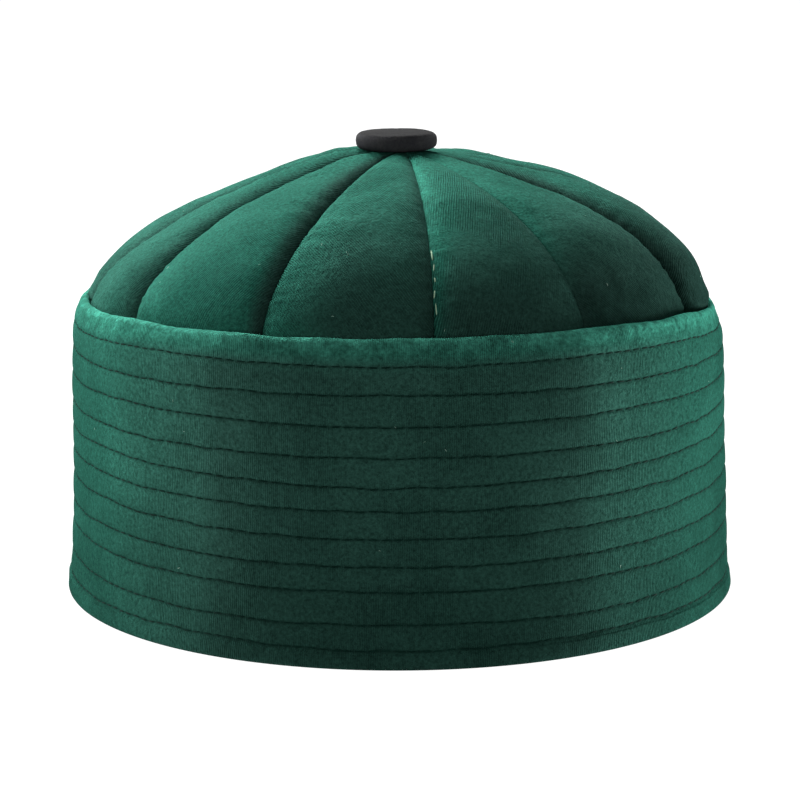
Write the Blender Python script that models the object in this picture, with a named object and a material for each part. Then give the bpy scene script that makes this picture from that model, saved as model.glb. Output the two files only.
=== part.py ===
"""Kufi cap: an upright quilted band, a crown of twelve padded gores and a covered button.

Metres, +Z up. The cap stands on its rim, with the origin at the rim's centre and the front at -Y.
A bearing is an angle about +Z, counted in degrees from the front towards +X.
"""

from math import acos, atan2, cos, degrees, hypot, pi, radians, sin
from typing import NamedTuple

import bmesh
import bpy
import numpy as np

# The band
HEAD_RADIUS = 0.0922        # inside of the band at mid height
BAND_WALL = 0.0039          # quilted cloth with its filling
BAND_HEIGHT = 0.0892        # rim to lip at the front
RIM_FLARE = 0.0027          # how far the rim stands out past mid height
LIP_LEAN = 0.0016           # how far the lip leans in from mid height
LIP_DROP = 0.0026           # how much lower the lip runs at the two sides
LIP_DROP_START = 0.68       # share of the height above which the sides run lower
SHOULDER_SLACK = 0.0026     # how far the padding has slumped in below the lip at the sides
RIM_ROUND = 0.0010          # outer fold at the rim
RIM_ROUND_IN = 0.0008       # inner fold at the rim
QUILT_PUFF = 0.0004         # how far the cloth swells between two sewn rows
BAND_SIDES = 64             # faces around the band, a multiple of four
LIP_STEPS = 6               # faces over the fold of the lip
RIM_STEPS = 2               # faces over each fold of the rim
INNER_LEVELS = (0.25, 0.55, 0.80, 0.93)     # heights of the inner wall's edges, as shares

# The crown
CROWN_RISE = 0.0430         # spring line to apex
SPRING_BELOW_LIP = 0.0037   # the crown starts to curve in this far below the lip
TUCK_DEPTH = 0.0120         # the gores run down inside the band to this far below the lip
TUCK_PINCH = 0.25           # share of the seams' depth at the gores' tucked edge
LIP_PINCH = 0.75            # share of it at the spring line
GORE_WALL = 0.0020          # cloth and backing at a seam
SEAM_DEPTH = 0.0036         # how far a full seam lies below the crests of its gores at the widest
FULLNESS = 1.87             # superellipse exponent of the crests, as a mean around the crown
FULLNESS_SWING = 0.17       # added to it at +X and taken off at -X
FULLNESS_OVAL = 0.13        # added to it at the front and back and taken off at the two sides
CROWN_SLACK = 0.0012        # largest dent or bulge of the slack side of the crown, at -X
SEAM_SHIFT = 0.0018         # the seams meet this far off the apex, towards +X
EYE_RADIUS = 0.0036         # the hole that the gores leave at the apex
CLIMB_STEPS = 11            # faces up each gore, its tucked one with them
CLEARANCE = 0.0003          # gap between two pieces that touch

# The button
BUTTON_RADIUS = 0.01195
BUTTON_THICKNESS = 0.0047
BUTTON_ROUND = 0.0016       # fold over the button's edge
BUTTON_DOME = 0.0005        # rise of its top towards the centre
BUTTON_DISH = 0.0003        # hollow of its underside
BUTTON_OFFSET = -0.0008     # sewn on this far towards +X of the eye's middle
BUTTON_SIDES = 28
BUTTON_STEPS = 3            # faces over each fold of its edge

# Heights of the eleven sewn rows, as shares of the band's height
SEWN_ROWS = (0.059, 0.135, 0.235, 0.313, 0.397, 0.482, 0.556, 0.644, 0.739, 0.832, 0.927)

# Places across a gore, as shares of its width, where its outer face has an edge
GORE_COLUMNS = (0.0, 0.05, 0.15, 0.31, 0.5, 0.69, 0.85, 0.95, 1.0)


class BandLine(NamedTuple):
    """One height of the band's outer line."""

    height: float       # share of BAND_HEIGHT
    flare: float        # share of RIM_FLARE
    lean: float         # share of LIP_LEAN


BAND_LINE = (
    BandLine(0.000, 1.00, 0.00),
    BandLine(0.020, 1.00, 0.00),
    BandLine(0.053, 0.68, 0.00),
    BandLine(0.090, 0.47, 0.00),
    BandLine(0.170, 0.38, 0.00),
    BandLine(0.260, 0.20, 0.00),
    BandLine(0.430, 0.05, 0.00),
    BandLine(0.500, 0.00, 0.00),
    BandLine(0.690, 0.00, 0.09),
    BandLine(0.780, 0.00, 0.20),
    BandLine(0.865, 0.00, 0.30),
    BandLine(0.930, 0.00, 0.56),
    BandLine(0.955, 0.00, 0.85),
    BandLine(1.000, 0.00, 1.20),
)


class Slump(NamedTuple):
    """One height of the slumped shoulders below the lip."""

    height: float       # share of BAND_HEIGHT
    right: float        # share of SHOULDER_SLACK at +X
    left: float         # share of SHOULDER_SLACK at -X


SHOULDERS = (
    Slump(0.70, 0.00, 0.00),
    Slump(0.80, 0.22, 0.00),
    Slump(0.88, 0.50, 0.00),
    Slump(0.93, 0.78, 0.05),
    Slump(0.98, 1.00, 0.40),
    Slump(1.00, 0.80, 0.60),
)


class Slack(NamedTuple):
    """One level of the slack side of the crown, at -X."""

    lift: float         # degrees up the crown, 0 at the spring line and 90 at the apex
    outward: float      # share of CROWN_SLACK, negative for a dent


CROWN_LINE = (
    Slack(0.0, 0.00),
    Slack(12.0, 0.80),
    Slack(24.0, 0.60),
    Slack(38.0, 0.05),
    Slack(52.0, -0.20),
    Slack(64.0, 0.45),
    Slack(74.0, 1.35),
    Slack(83.0, 0.55),
    Slack(90.0, 0.00),
)


class Seam(NamedTuple):
    """One seam of the crown, with the gore that follows it towards +X."""

    bearing: float      # degrees, at the spring line
    turn: float         # degrees that the seam turns on its way up to the apex
    depth: float        # share of SEAM_DEPTH
    puff: float         # how far the gore's crest swells past the others, as a share of SEAM_DEPTH


SEAMS = (
    Seam(6.1, 0.5, 0.80, 0.00),
    Seam(34.8, -5.6, 0.42, 0.05),
    Seam(67.4, -4.2, 1.00, 0.10),
    Seam(97.0, 0.0, 0.90, 0.00),
    Seam(127.0, 0.0, 0.90, 0.10),
    Seam(157.0, 0.0, 0.80, 0.00),
    Seam(187.0, 0.0, 0.90, 0.10),
    Seam(217.0, 0.0, 0.80, 0.00),
    Seam(247.0, 0.0, 0.90, 0.10),
    Seam(277.5, -9.0, 0.75, 0.10),
    Seam(303.5, -7.2, 0.85, 0.10),
    Seam(335.7, -1.6, 1.00, 0.00),
)

VELVET_GREEN = (0.022, 0.110, 0.082)
BUTTON_BLACK = (0.018, 0.018, 0.020)


def clear_scene() -> None:
    """Remove every object that the new file opened with."""
    for old in list(bpy.data.objects):
        bpy.data.objects.remove(old, do_unlink=True)


def cloth(name: str, colour: tuple[float, float, float], roughness: float) -> bpy.types.Material:
    """Make a plain cloth material."""
    material = bpy.data.materials.new(name)
    material.use_nodes = True
    shader = material.node_tree.nodes["Principled BSDF"]
    shader.inputs["Base Color"].default_value = (*colour, 1.0)
    shader.inputs["Roughness"].default_value = roughness
    shader.inputs["Metallic"].default_value = 0.0
    material.diffuse_color = (*colour, 1.0)
    return material


def add_node(name: str, form: bmesh.types.BMesh, material: bpy.types.Material) -> bpy.types.Object:
    """Turn a finished form into a smooth-shaded object."""
    bmesh.ops.recalc_face_normals(form, faces=form.faces)
    mesh = bpy.data.meshes.new(name)
    form.to_mesh(mesh)
    form.free()
    mesh.materials.append(material)
    mesh.shade_smooth()
    mesh.set_sharp_from_angle(angle=radians(50))
    piece = bpy.data.objects.new(name, mesh)
    bpy.context.scene.collection.objects.link(piece)
    return piece


def arc(centre: tuple[float, float], radius: float, first: float, last: float, steps: int):
    """List the points of an arc in the (radius, height) half plane, with its ends."""
    turns = [radians(first + (last - first) * step / steps) for step in range(steps + 1)]
    return [(centre[0] + radius * cos(turn), centre[1] + radius * sin(turn)) for turn in turns]


def turned(outline, sides: int) -> bmesh.types.BMesh:
    """Turn an outline of (radius, height) points about +Z. A point on the axis becomes a pole."""
    form = bmesh.new()
    corners = [form.verts.new((0.0, -radius, height)) for radius, height in outline]
    closed = outline[0][0] > 0.0
    pairs = list(zip(corners, corners[1:]))
    if closed:
        pairs.append((corners[-1], corners[0]))
    edges = [form.edges.new(pair) for pair in pairs]
    bmesh.ops.spin(form, geom=corners + edges, cent=(0, 0, 0), axis=(0, 0, 1), dvec=(0, 0, 0),
                   angle=2 * pi, steps=sides, use_merge=True, use_duplicate=False)
    bmesh.ops.remove_doubles(form, verts=form.verts, dist=1e-6)
    return form


def band_radius(height: float) -> float:
    """Radius of the band's outer line at a height, without the swell between its rows."""
    shares = [line.height for line in BAND_LINE]
    flare = np.interp(height / BAND_HEIGHT, shares, [line.flare for line in BAND_LINE])
    lean = np.interp(height / BAND_HEIGHT, shares, [line.lean for line in BAND_LINE])
    return float(HEAD_RADIUS + BAND_WALL + RIM_FLARE * flare - LIP_LEAN * lean)


def lip_fold() -> tuple[float, float, float]:
    """Centre radius, centre height and radius of the fold at the lip, half a wall round."""
    fold = BAND_WALL / 2
    height = BAND_HEIGHT - fold
    return HEAD_RADIUS + BAND_WALL - LIP_LEAN - fold, height, fold


def quilted_line():
    """Points up the band's outer face: one at each sewn row and one at each swell between rows."""
    rows = [share * BAND_HEIGHT for share in SEWN_ROWS]
    swells = [(low + high) / 2 for low, high in zip(rows, rows[1:])]
    lip_height = lip_fold()[1]
    last_swell = (rows[-1] + lip_height) / 2
    points = [(band_radius(height), height) for height in rows]
    points += [(band_radius(height) + QUILT_PUFF, height) for height in swells]
    points.append((band_radius(last_swell) + QUILT_PUFF / 2, last_swell))
    return sorted(points, key=lambda point: point[1])


def band_outline():
    """The band's section: the rim's outer fold, the quilted face, the lip, the inner wall, the rim."""
    rim = band_radius(0.0)
    lip_radius, lip_height, fold = lip_fold()
    outline = arc((rim - RIM_ROUND, RIM_ROUND), RIM_ROUND, -90, 0, RIM_STEPS)
    outline += quilted_line()
    outline += arc((lip_radius, lip_height), fold, 0, 180, LIP_STEPS)
    for share in reversed(INNER_LEVELS):
        height = share * BAND_HEIGHT
        outline.append((band_radius(height) - BAND_WALL, height))
    inner = rim - BAND_WALL
    outline += arc((inner + RIM_ROUND_IN, RIM_ROUND_IN), RIM_ROUND_IN, 180, 270, RIM_STEPS)
    return outline


def side_drop(height: float, bearing: float) -> float:
    """How far the band's upper part hangs lower at a bearing, most at the lip and at the sides."""
    start = LIP_DROP_START * BAND_HEIGHT
    share = max(0.0, (height - start) / (BAND_HEIGHT - start))
    return LIP_DROP * share ** 2 * sin(bearing) ** 4


def shoulder_slump(radius: float, height: float, bearing: float) -> float:
    """How far a point of the band has slumped inward: all of it on the outer face, none inside."""
    heights = [row.height for row in SHOULDERS]
    side = [row.right if bearing > 0 else row.left for row in SHOULDERS]
    inward = np.interp(height / BAND_HEIGHT, heights, side)
    outer_share = (radius - band_radius(height)) / BAND_WALL + 1
    return SHOULDER_SLACK * inward * min(max(outer_share, 0.0), 1.0) * sin(bearing) ** 6


def build_band(material: bpy.types.Material) -> None:
    """Turn the band's section, let its shoulder slump and lower the lip at the two sides."""
    form = turned(band_outline(), BAND_SIDES)
    for corner in form.verts:
        bearing = np.arctan2(corner.co.x, -corner.co.y)
        radius = corner.co.xy.length
        corner.co.xy *= 1 - shoulder_slump(radius, corner.co.z, bearing) / radius
        corner.co.z -= side_drop(corner.co.z, bearing)
    add_node("band", form, material)


def crown_radius() -> float:
    """Radius of the crown's crests at the spring line, just inside the lip."""
    lip_radius, _, fold = lip_fold()
    return lip_radius - fold - CLEARANCE


def pillow(share: float) -> float:
    """Swell across a gore, 0 at its seams and 1 along its crest, with steep flanks."""
    return (1 - abs(1 - 2 * share) ** 2.2) ** 0.7


class Climb(NamedTuple):
    """One level of a gore."""

    lift: float         # angle up the crown, 0 at the spring line and a quarter turn at the apex
    below: float        # distance below the spring line
    pinch: float        # share of the seams' depth that is left at this level


def climbs() -> list[Climb]:
    """Levels of a gore, from its tucked edge to the eye."""
    levels = [Climb(0.0, TUCK_DEPTH - SPRING_BELOW_LIP, TUCK_PINCH)]
    last = acos((EYE_RADIUS / crown_radius()) ** (FULLNESS / 2))
    for step in range(CLIMB_STEPS):
        lift = last * step / (CLIMB_STEPS - 1)
        narrowing = cos(lift) ** (1.4 / FULLNESS)
        levels.append(Climb(lift, 0.0, narrowing * min(1.0, LIP_PINCH + lift / 2)))
    return levels


def crest(level: Climb, bearing: float):
    """Radius and height of the crown's crest line, and its outward normal, in the half plane."""
    fullness = FULLNESS + FULLNESS_SWING * sin(bearing) + FULLNESS_OVAL * cos(2 * bearing)
    spring = BAND_HEIGHT - SPRING_BELOW_LIP
    across = cos(level.lift) ** (2 / fullness)
    up = sin(level.lift) ** (2 / fullness)
    slope_r = across ** (fullness - 1) / crown_radius()
    slope_z = up ** (fullness - 1) / CROWN_RISE
    length = hypot(slope_r, slope_z)
    normal = (slope_r / length, slope_z / length)
    lifts = [row.lift for row in CROWN_LINE]
    slack = np.interp(degrees(level.lift), lifts, [row.outward for row in CROWN_LINE])
    out = CROWN_SLACK * float(slack) * max(0.0, -sin(bearing)) ** 2
    radius = crown_radius() * across + out * normal[0]
    height = spring - level.below + CROWN_RISE * up + out * normal[1]
    return radius, height, normal


def seam_bearing(index: int, level: Climb) -> float:
    """Bearing of a seam at a level, in radians, counted on past a full turn."""
    turn, place = divmod(index, len(SEAMS))
    seam = SEAMS[place]
    return radians(seam.bearing + 360 * turn + seam.turn * level.lift / (pi / 2))


def crown_corner(index: int, level: Climb, share: float, inside: bool):
    """One corner of gore number index: at a level, at a share of its width, outside or inside."""
    start, end = seam_bearing(index, level), seam_bearing(index + 1, level)
    bearing = start + (end - start) * share
    radius, height, normal = crest(level, bearing)
    if inside:
        sink = GORE_WALL + SEAM_DEPTH * level.pinch
    else:
        near = SEAMS[index if share < 0.5 else (index + 1) % len(SEAMS)]
        swell = pillow(share)
        puff = SEAMS[index].puff * sin(2 * level.lift)
        sink = SEAM_DEPTH * level.pinch * (near.depth * (1 - swell) - puff * swell)
    radius = max(radius - sink * normal[0], EYE_RADIUS)
    height -= sink * normal[1]
    bearing += CLEARANCE / 2 / radius * (1 - 2 * share)
    shift = SEAM_SHIFT * (1 - min(1.0, radius / crown_radius()) ** 2)
    bearing = atan2(radius * sin(bearing) + shift, radius * cos(bearing))
    return radius * sin(bearing), -radius * cos(bearing), height


def build_gore(index: int, material: bpy.types.Material) -> None:
    """Loft one gore through its levels: each is a ring of outer and inner corners."""
    form = bmesh.new()
    rings = []
    for level in climbs():
        outer = [crown_corner(index, level, share, False) for share in GORE_COLUMNS]
        inner = [crown_corner(index, level, share, True) for share in reversed(GORE_COLUMNS[::2])]
        rings.append([form.verts.new(corner) for corner in outer + inner])
    count = len(rings[0])
    for low, high in zip(rings, rings[1:]):
        for place in range(count):
            following = (place + 1) % count
            form.faces.new((low[place], low[following], high[following], high[place]))
    form.faces.new(rings[0])
    form.faces.new(rings[-1])
    add_node(f"gore_{index + 1:02d}", form, material)


def button_outline():
    """Half section of the button, from the shank's foot to the middle of the top."""
    eye_edge = climbs()[-1]
    seat = max(crest(eye_edge, radians(seam.bearing))[1] for seam in SEAMS) + CLEARANCE
    shank = EYE_RADIUS - CLEARANCE - abs(BUTTON_OFFSET)
    foot = seat - GORE_WALL - SEAM_DEPTH * eye_edge.pinch
    top = seat + BUTTON_THICKNESS - BUTTON_DOME
    edge = BUTTON_RADIUS - BUTTON_ROUND
    under = seat - BUTTON_DISH + BUTTON_ROUND
    outline = [(0.0, foot), (shank, foot), (shank, seat)]
    outline += arc((edge, under), BUTTON_ROUND, -90, 0, BUTTON_STEPS)
    outline += arc((edge, top - BUTTON_ROUND), BUTTON_ROUND, 0, 90, BUTTON_STEPS)
    outline.append((edge / 2, top + 0.75 * BUTTON_DOME))
    outline.append((0.0, top + BUTTON_DOME))
    return outline


def build_button(material: bpy.types.Material) -> None:
    """Turn the button and set it over the eye, a little off its middle."""
    form = turned(button_outline(), BUTTON_SIDES)
    for corner in form.verts:
        corner.co.x += BUTTON_OFFSET
    add_node("button", form, material)


def main() -> None:
    """Build the cap."""
    clear_scene()
    velvet = cloth("velvet", VELVET_GREEN, 0.9)
    covered = cloth("covered_button", BUTTON_BLACK, 0.85)
    build_band(velvet)
    for index in range(len(SEAMS)):
        build_gore(index, velvet)
    build_button(covered)


if __name__ == "__main__":
    main()
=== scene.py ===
"""Looks of the kufi cap: velvet over the quilted band and the padded crown, the sewing, the button.

Metres, +Z up. The cap stands on its rim, with the origin at the rim's centre and the front at -Y.
A bearing is an angle about +Z, in radians from the front towards +X. The main sizes are those of
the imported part, so each piece lies in the room of the node that it stands for.
"""

import logging
from dataclasses import dataclass
from enum import Enum
from math import acos, cos, pi, radians, sin, tau
from typing import NamedTuple

import bmesh
import bpy
import numpy as np
from mathutils import Euler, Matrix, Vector


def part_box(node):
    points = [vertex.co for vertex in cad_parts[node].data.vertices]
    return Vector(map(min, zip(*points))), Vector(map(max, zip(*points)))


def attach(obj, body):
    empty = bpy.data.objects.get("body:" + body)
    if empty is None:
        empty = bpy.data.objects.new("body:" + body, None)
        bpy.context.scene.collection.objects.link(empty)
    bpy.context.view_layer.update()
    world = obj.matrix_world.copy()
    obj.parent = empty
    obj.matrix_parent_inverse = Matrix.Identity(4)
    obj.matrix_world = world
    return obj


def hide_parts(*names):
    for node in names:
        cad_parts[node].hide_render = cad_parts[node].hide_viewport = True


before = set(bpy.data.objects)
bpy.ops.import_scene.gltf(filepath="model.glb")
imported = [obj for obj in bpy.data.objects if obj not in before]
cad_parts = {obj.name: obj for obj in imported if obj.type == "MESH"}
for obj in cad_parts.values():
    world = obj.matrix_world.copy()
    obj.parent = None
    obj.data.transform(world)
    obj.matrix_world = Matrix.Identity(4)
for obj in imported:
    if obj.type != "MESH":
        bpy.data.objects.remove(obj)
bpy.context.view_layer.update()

LOG = logging.getLogger("kufi_cap")
BODY = "root"
CLOTH_PLACE = "cloth_place"     # mesh attribute: metres across the cloth, share of the greyer painted-shade colour, painted light and shade
MM = 0.001
SPRING_BELOW_LIP = 0.0037       # the crown starts to curve in this far below the lip
CLEARANCE = 0.0003              # between the crown's tucked side and the band
BUTTON_DEPTH = 0.0047           # the button's seat lies this far below its highest point

Colour = tuple[float, float, float]


class Slot(Enum):
    """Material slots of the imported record."""

    VELVET = "velvet"
    BUTTON_CLOTH = "button_cloth"


# Relief and meshes

@dataclass(frozen=True)
class Relief:
    """Soft random relief that is the same on every run.

    Attributes:
        seed: picks the pattern.
        spacing: usual distance between two humps, in metres.
        height: usual height of a hump, in metres.
        waves: number of plane waves that are added up.
    """

    seed: int
    spacing: float
    height: float
    waves: int = 28

    def at(self, places: np.ndarray) -> np.ndarray:
        """Height of the relief at some places.

        Args:
            places: array whose last axis holds x, y and z.

        Returns:
            Array of heights, one for each place.
        """
        draw = np.random.default_rng(self.seed)
        aims = draw.normal(size=(self.waves, 3))
        aims /= np.linalg.norm(aims, axis=1, keepdims=True)
        lengths = self.spacing * draw.uniform(0.7, 1.6, self.waves)
        starts = draw.uniform(0.0, tau, self.waves)
        phases = places @ (aims * (tau / lengths)[:, None]).T + starts
        return self.height * np.sqrt(2.0 / self.waves) * np.cos(phases).sum(axis=-1)


def uneven(layers: tuple[Relief, ...], places: np.ndarray) -> np.ndarray:
    """Height of a few layers of relief together."""
    return sum(layer.at(places) for layer in layers)


def make_piece(name: str, corners: np.ndarray, faces: list, material: bpy.types.Material,
               places: np.ndarray | None = None) -> bpy.types.Object:
    """Make a smooth-shaded object with outward normals.

    Args:
        name: name of the piece.
        corners: (n, 3) array of points.
        faces: lists of point numbers.
        material: its finish.
        places: (loops, 3) array for each corner of each face: its place across the cloth in metres,
        the share of the greyer colour painted in as shade there, and its painted light or shade
        (below 0 darker).

    Returns:
        The object, linked to the scene.
    """
    mesh = bpy.data.meshes.new(name)
    mesh.from_pydata(np.asarray(corners).reshape(-1, 3).tolist(), [], faces)
    if places is not None:
        spots = mesh.attributes.new(CLOTH_PLACE, "FLOAT_VECTOR", "CORNER")
        spots.data.foreach_set("vector", np.ascontiguousarray(places, dtype=float).ravel())
    form = bmesh.new()
    form.from_mesh(mesh)
    bmesh.ops.recalc_face_normals(form, faces=form.faces)
    form.to_mesh(mesh)
    form.free()
    mesh.shade_smooth()
    mesh.materials.append(material)
    piece = bpy.data.objects.new(name, mesh)
    bpy.context.scene.collection.objects.link(piece)
    return piece


def lay_threads(name: str, paths: np.ndarray, outward: np.ndarray, width: np.ndarray | float,
                rise: float, material: bpy.types.Material, sides: int = 6) -> bpy.types.Object:
    """Lay short lengths of thread on the cloth as one piece, each tapered and closed at its ends.

    Args:
        name: name of the piece.
        paths: (threads, points, 3) array of the middle lines.
        outward: array that broadcasts against paths, away from the cloth.
        width: width of each thread along the cloth, in metres.
        rise: half height of the threads, in metres.
        material: their finish.
        sides: faces around a thread.

    Returns:
        The threads as one object.
    """
    count, steps = paths.shape[:2]
    outward = outward / np.linalg.norm(outward, axis=-1, keepdims=True)
    across = np.cross(np.gradient(paths, axis=1), outward)
    across /= np.linalg.norm(across, axis=-1, keepdims=True)
    girth = np.sqrt(1 - 0.97 * np.linspace(-1, 1, steps) ** 4)[None, :, None, None]
    half = np.broadcast_to(np.asarray(width) / 2, (count,))[:, None, None, None]
    turn = (np.arange(sides) * tau / sides)[None, None, :, None]
    rings = paths[:, :, None] + across[:, :, None] * girth * half * np.cos(turn)
    rings = (rings + outward[..., None, :] * girth * rise * np.sin(turn)).reshape(count, -1, 3)
    tips = np.stack([rings[:, :sides].mean(axis=1), rings[:, -sides:].mean(axis=1)], axis=1)
    corners = np.concatenate([rings, tips], axis=1)
    one = corner_numbers(ring_faces(steps, sides, False), sides)
    end, tip = (steps - 1) * sides, steps * sides
    for side in range(sides):
        after = (side + 1) % sides
        one += [[tip, after, side], [tip + 1, end + side, end + after]]
    size = corners.shape[1]
    faces = [[thread * size + corner for corner in face] for thread in range(count) for face in one]
    return make_piece(name, corners, faces, material)


def read_table(rows: tuple, places: np.ndarray, column: str) -> np.ndarray:
    """Read one column of a table at some places.

    Args:
        rows: the table's rows, in the order of their first column.
        places: places to read it at, in the first column's terms.
        column: name of the column.

    Returns:
        Array of values, even between two rows.
    """
    return np.interp(places, [row[0] for row in rows], [getattr(row, column) for row in rows])


def around_axis(radius: np.ndarray, bearing: np.ndarray, height: np.ndarray) -> np.ndarray:
    """Points at some radii, bearings and heights."""
    return np.stack([radius * np.sin(bearing), -radius * np.cos(bearing), height], axis=-1)


def ease(share: np.ndarray) -> np.ndarray:
    """Share from 0 to 1 that starts and ends softly."""
    return share ** 2 * (3 - 2 * share)


def arc(centre: tuple[float, float], radius: float, start: float, end: float, steps: int) -> np.ndarray:
    """Points of an arc in a section.

    Args:
        centre: its centre's radius and height.
        radius: its radius.
        start: angle of its first point in degrees, 0 outwards and 90 up.
        end: angle of its last point.
        steps: number of faces over it.

    Returns:
        (steps + 1, 2) array of radii and heights.
    """
    turn = np.radians(np.linspace(start, end, steps + 1))
    return np.stack([centre[0] + radius * np.cos(turn), centre[1] + radius * np.sin(turn)], axis=1)


def ring_faces(rows: int, columns: int, closed: bool) -> np.ndarray:
    """Quads over a grid whose columns close into rings.

    Args:
        rows: number of rings.
        columns: points in each ring.
        closed: whether the last ring joins the first.

    Returns:
        (faces, 4, 2) array of row and column numbers, the column counted on past a full ring.
    """
    last = rows if closed else rows - 1
    row, column = np.meshgrid(np.arange(last), np.arange(columns), indexing="ij")
    row, column = row.ravel(), column.ravel()
    steps = ((0, 0), (0, 1), (1, 1), (1, 0))
    return np.stack([np.stack([row + up, column + on], axis=-1) for up, on in steps], axis=1)


def corner_numbers(cells: np.ndarray, columns: int) -> list:
    """Faces of ring_faces as numbers of their corners, counted ring by ring."""
    return (cells[..., 0] * columns + cells[..., 1] % columns).tolist()


# Finishes

class NodeBench:
    """Adds shader nodes to one material and wires them."""

    def __init__(self, name: str, colour: Colour) -> None:
        """Start a material with a Principled shader.

        Args:
            name: name of the material.
            colour: its plain colour, for the solid view.
        """
        self.material = bpy.data.materials.new(name)
        self.material.use_nodes = True
        self.material.diffuse_color = (*colour, 1.0)
        self.tree = self.material.node_tree
        self.shader = self.tree.nodes["Principled BSDF"]

    def add(self, kind: str, **settings) -> bpy.types.Node:
        """Add a node and set its properties."""
        node = self.tree.nodes.new(kind)
        for key, value in settings.items():
            setattr(node, key, value)
        return node

    def wire(self, source, target) -> None:
        """Link an output to an input."""
        self.tree.links.new(source, target)

    def noise(self, place, spacing: float, detail: float = 2.0, rough: float = 0.5):
        """Noise from 0 to 1.

        Args:
            place: vector output in metres.
            spacing: distance between two humps, in metres.
            detail: number of finer layers.
            rough: strength of the finer layers.

        Returns:
            The noise's value output.
        """
        node = self.add("ShaderNodeTexNoise")
        node.inputs["Scale"].default_value = 1.0 / spacing
        node.inputs["Detail"].default_value = detail
        node.inputs["Roughness"].default_value = rough
        self.wire(place, node.inputs["Vector"])
        return node.outputs["Fac"]

    def math(self, operation: str, first, second=0.0, third=0.0):
        """Combine two or three values.

        Args:
            operation: name of the operation.
            first: output or number, as the other two.
            second: what it is combined with.
            third: what is added, where the operation adds.

        Returns:
            The result's output.
        """
        node = self.add("ShaderNodeMath", operation=operation)
        for value, socket in zip((first, second, third), node.inputs):
            if isinstance(value, (int, float)):
                socket.default_value = value
            else:
                self.wire(value, socket)
        return node.outputs[0]

    def span(self, value, low: float, high: float, start: float = 0.0, end: float = 1.0):
        """Carry a value from low..high over to start..end.

        Args:
            value: output to carry over.
            low: input that gives start.
            high: input that gives end.
            start: result at low.
            end: result at high.

        Returns:
            The result's output, held within start..end.
        """
        node = self.add("ShaderNodeMapRange")
        for key, number in zip(("From Min", "From Max", "To Min", "To Max"), (low, high, start, end)):
            node.inputs[key].default_value = number
        self.wire(value, node.inputs["Value"])
        return node.outputs["Result"]

    def blend(self, share, first: Colour, second: Colour):
        """Mix two colours by a share.

        Args:
            share: output from 0 to 1.
            first: colour at 0.
            second: colour at 1.

        Returns:
            The mixed colour's output.
        """
        node = self.add("ShaderNodeMix", data_type="RGBA")
        colour_inputs = [socket for socket in node.inputs if socket.type == "RGBA"]
        for colour, socket in zip((first, second), colour_inputs):
            socket.default_value = (*colour, 1.0)
        self.wire(share, node.inputs["Factor"])
        return next(socket for socket in node.outputs if socket.type == "RGBA")

    def scaled(self, colour, factor):
        """Multiply a colour by a value.

        Args:
            colour: colour output.
            factor: value output.

        Returns:
            The scaled colour's output.
        """
        node = self.add("ShaderNodeVectorMath", operation="SCALE")
        self.wire(colour, node.inputs[0])
        self.wire(factor, node.inputs["Scale"])
        return node.outputs[0]

    def raise_surface(self, height, distance: float, strength: float) -> None:
        """Give the shader a bump.

        Args:
            height: value output.
            distance: height of the relief, in metres.
            strength: share of it that shows.
        """
        node = self.add("ShaderNodeBump")
        node.inputs["Distance"].default_value = distance
        node.inputs["Strength"].default_value = strength
        self.wire(height, node.inputs["Height"])
        self.wire(node.outputs["Normal"], self.shader.inputs["Normal"])

    def place(self):
        """Place on the object, in metres."""
        return self.add("ShaderNodeTexCoord").outputs["Object"]

    def set_shader(self, values: dict[str, float | tuple[float, ...]]) -> None:
        """Set the shader's sockets of some names to plain values."""
        for name, value in values.items():
            self.shader.inputs[name].default_value = value


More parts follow.
